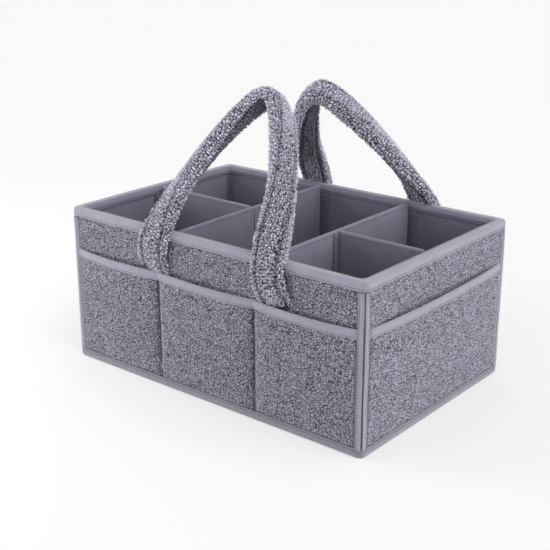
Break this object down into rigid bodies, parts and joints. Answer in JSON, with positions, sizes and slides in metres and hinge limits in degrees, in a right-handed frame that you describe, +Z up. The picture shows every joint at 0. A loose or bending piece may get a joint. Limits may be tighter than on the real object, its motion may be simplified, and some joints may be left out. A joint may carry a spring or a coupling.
{
  "type": "diaper caddy",
  "caption": "Open fleece caddy with outside pockets, padded carry handles that fold outward, and a divided inside with half panels that turn.",
  "frame": {"origin": "middle of the underside, on the floor", "axes": "+X along the length, -Y to the front, +Z up"},
  "size_m": [0.414, 0.2916, 0.3266],
  "materials": {
    "fleece": "looped teddy fleece",
    "binding_tape": "woven tape, folded and stitched",
    "lining_cloth": "smooth brushed cloth",
    "hook_tape": "hook and loop tape",
    "stiff_board": "plain board, hidden in the cloth",
    "foam": "soft padding, hidden in the strap"
  },
  "bodies": {
    "caddy": {"base_cloth": "lining_cloth", "base_board": "stiff_board", "base_lining": "lining_cloth", "base_binding": "binding_tape", "front_wall_fleece": "fleece", "front_wall_board": "stiff_board", "front_wall_lining": "lining_cloth", "front_edge_binding_left": "binding_tape", "front_edge_binding_right": "binding_tape", "front_pocket_panel": "fleece", "front_pocket_binding": "binding_tape", "right_wall_fleece": "fleece", "right_wall_board": "stiff_board", "right_wall_lining": "lining_cloth", "right_edge_binding_front": "binding_tape", "right_edge_binding_back": "binding_tape", "right_pocket_panel": "fleece", "right_pocket_binding": "binding_tape", "back_wall_fleece": "fleece", "back_wall_board": "stiff_board", "back_wall_lining": "lining_cloth", "back_edge_binding_right": "binding_tape", "back_edge_binding_left": "binding_tape", "back_pocket_panel": "fleece", "back_pocket_binding": "binding_tape", "left_wall_fleece": "fleece", "left_wall_board": "stiff_board", "left_wall_lining": "lining_cloth", "left_edge_binding_back": "binding_tape", "left_edge_binding_front": "binding_tape", "left_pocket_panel": "fleece", "left_pocket_binding": "binding_tape", "rim_binding": "binding_tape", "front_handle_foot_left": "fleece", "front_handle_foot_right": "fleece", "back_handle_foot_left": "fleece", "back_handle_foot_right": "fleece", "left_divider_cover": "lining_cloth", "left_divider_board": "stiff_board", "left_divider_hook_front": "hook_tape", "left_divider_hook_back": "hook_tape", "left_hinge_strip": "lining_cloth", "left_loop_strip": "hook_tape", "right_divider_cover": "lining_cloth", "right_divider_board": "stiff_board", "right_divider_hook_front": "hook_tape", "right_divider_hook_back": "hook_tape", "right_hinge_strip": "lining_cloth", "right_loop_strip": "hook_tape"},
    "front_handle": {"front_handle_cover": "fleece", "front_handle_core": "foam"},
    "back_handle": {"back_handle_cover": "fleece", "back_handle_core": "foam"},
    "left_half": {"left_half_cover": "lining_cloth", "left_half_board": "stiff_board", "left_half_hook": "hook_tape"},
    "right_half": {"right_half_cover": "lining_cloth", "right_half_board": "stiff_board", "right_half_hook": "hook_tape"}
  },
  "joints": [
    {"name": "front_handle_swing", "type": "hinge", "parent": "caddy", "child": "front_handle", "pos_m": [0, -0.1465, 0.1804], "axis": [1, 0, 0], "range_deg": [-7, 204]},
    {"name": "back_handle_swing", "type": "hinge", "parent": "caddy", "child": "back_handle", "pos_m": [0, 0.1465, 0.1804], "axis": [-1, 0, 0], "range_deg": [-7, 206]},
    {"name": "left_half_swing", "type": "hinge", "parent": "caddy", "child": "left_half", "pos_m": [-0.0517, -0.002, 0], "axis": [0, 0, 1], "range_deg": [-50, 50]},
    {"name": "right_half_swing", "type": "hinge", "parent": "caddy", "child": "right_half", "pos_m": [0.0867, -0.014, 0], "axis": [0, 0, 1], "range_deg": [-80, 80]}
  ]
}
